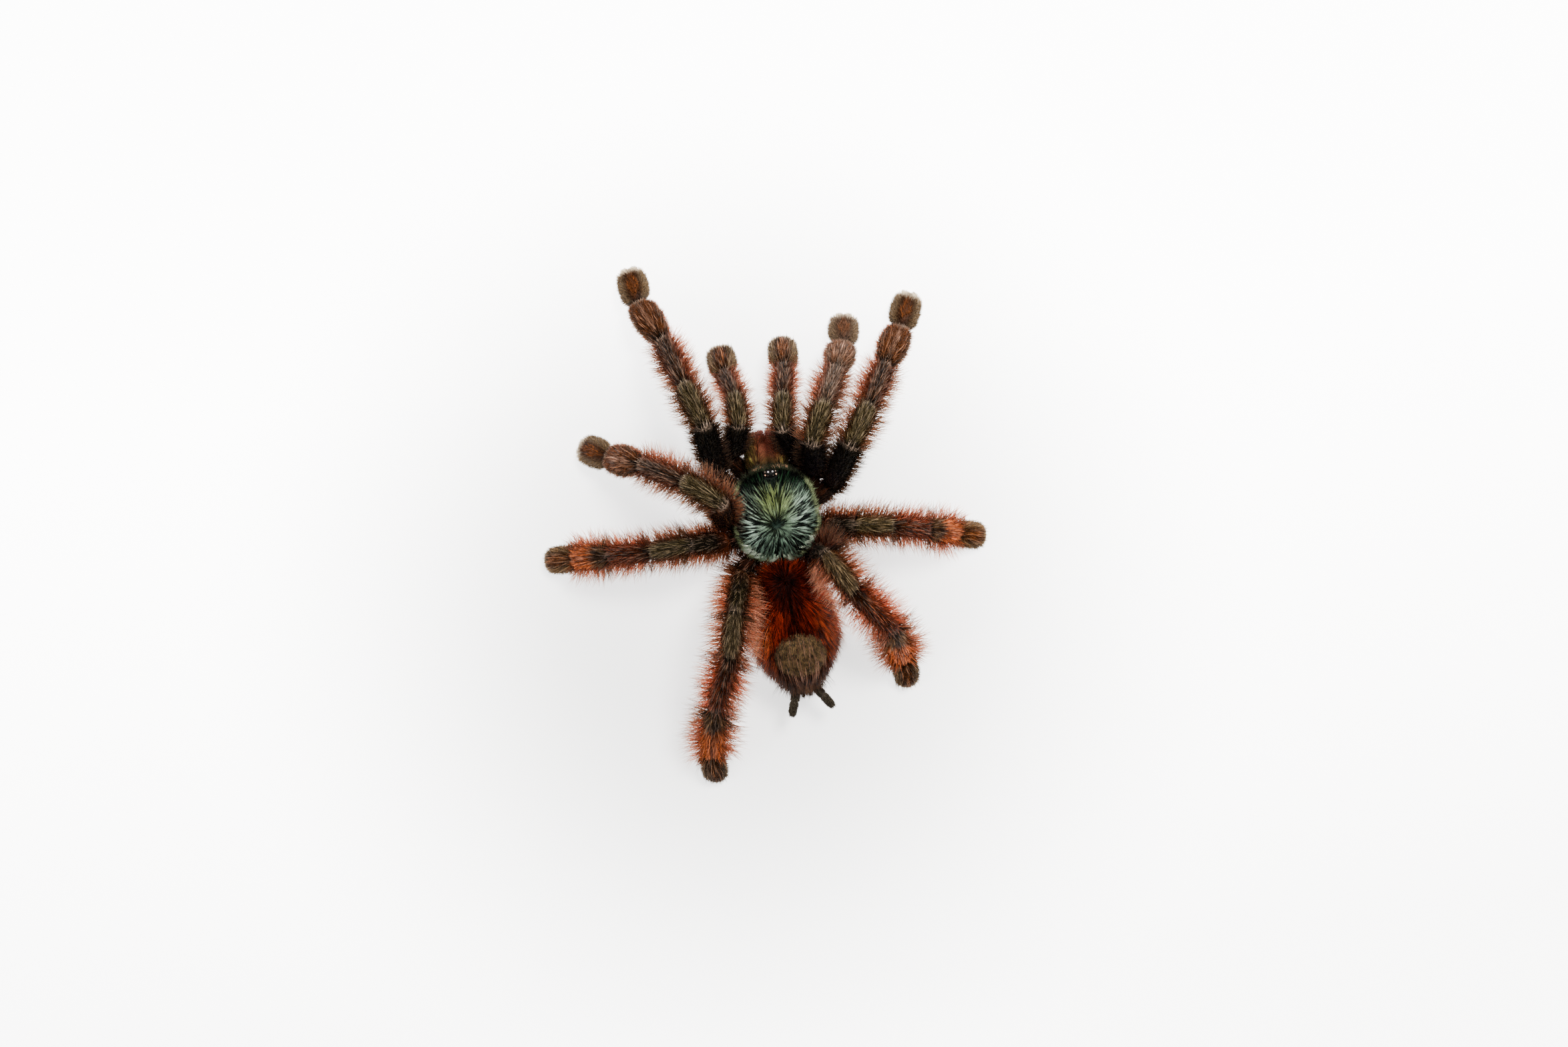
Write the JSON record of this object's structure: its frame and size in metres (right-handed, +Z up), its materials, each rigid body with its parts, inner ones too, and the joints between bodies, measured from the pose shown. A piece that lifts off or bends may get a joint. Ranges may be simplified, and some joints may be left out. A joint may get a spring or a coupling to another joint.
{
  "type": "antilles pinktoe tarantula",
  "caption": "Standing tree-living tarantula, life size: domed green carapace, oval red abdomen, arched hairy legs with broad flat feet, feelers, fangs, eyes and spinnerets.",
  "frame": {"origin": "middle of the whole animal's box, on the floor it stands on", "axes": "+Y where the head points, along the midline of the carapace; +X the animal's right; +Z up"},
  "size_m": [0.0834, 0.0984, 0.0218],
  "materials": {
    "carapace_green": "short metallic green bristles over a hard shield",
    "abdomen_red": "long soft red-orange bristles over a soft skin",
    "leg_dark": "dark olive-brown bristles",
    "leg_olive": "olive-brown bristles, red-orange along the sides",
    "foot_brown": "dense brush of short bristles, velvety",
    "chelicera_brown": "short bristles, greenish-brown",
    "claw_black": "smooth hard cuticle, glossy black-brown",
    "eye_black": "smooth glossy lens"
  },
  "bodies": {
    "root": {"carapace": "carapace_green", "sternum": "leg_dark", "pedicel": "leg_dark", "abdomen": "abdomen_red", "spinneret_outer_left": "claw_black", "spinneret_outer_right": "claw_black", "spinneret_inner_left": "claw_black", "spinneret_inner_right": "claw_black", "chelicera_left": "chelicera_brown", "fang_left": "claw_black", "chelicera_right": "chelicera_brown", "fang_right": "claw_black", "eye_front_inner_left": "eye_black", "eye_front_inner_right": "eye_black", "eye_front_outer_left": "eye_black", "eye_front_outer_right": "eye_black", "eye_rear_outer_left": "eye_black", "eye_rear_outer_right": "eye_black", "eye_rear_inner_left": "eye_black", "eye_rear_inner_right": "eye_black", "palp_left_coxa": "leg_dark", "palp_left_femur": "leg_dark", "palp_left_patella_tibia": "leg_olive", "palp_left_tarsus": "foot_brown", "palp_right_coxa": "leg_dark", "palp_right_femur": "leg_dark", "palp_right_patella_tibia": "leg_olive", "palp_right_tarsus": "foot_brown", "leg1_left_coxa": "leg_dark", "leg1_left_femur": "leg_dark", "leg1_left_patella_tibia": "leg_olive", "leg1_left_metatarsus_tarsus": "foot_brown", "leg1_right_coxa": "leg_dark", "leg1_right_femur": "leg_dark", "leg1_right_patella_tibia": "leg_olive", "leg1_right_metatarsus_tarsus": "foot_brown", "leg2_left_coxa": "leg_dark", "leg2_left_femur": "leg_dark", "leg2_left_patella_tibia": "leg_olive", "leg2_left_metatarsus_tarsus": "foot_brown", "leg2_right_coxa": "leg_dark", "leg2_right_femur": "leg_dark", "leg2_right_patella_tibia": "leg_olive", "leg2_right_metatarsus_tarsus": "foot_brown", "leg3_left_coxa": "leg_dark", "leg3_left_femur": "leg_dark", "leg3_left_patella_tibia": "leg_olive", "leg3_left_metatarsus_tarsus": "foot_brown", "leg3_right_coxa": "leg_dark", "leg3_right_femur": "leg_dark", "leg3_right_patella_tibia": "leg_olive", "leg3_right_metatarsus_tarsus": "foot_brown", "leg4_left_coxa": "leg_dark", "leg4_left_femur": "leg_dark", "leg4_left_patella_tibia": "leg_olive", "leg4_left_metatarsus_tarsus": "foot_brown", "leg4_right_coxa": "leg_dark", "leg4_right_femur": "leg_dark", "leg4_right_patella_tibia": "leg_olive", "leg4_right_metatarsus_tarsus": "foot_brown"}
  },
  "joints": []
}
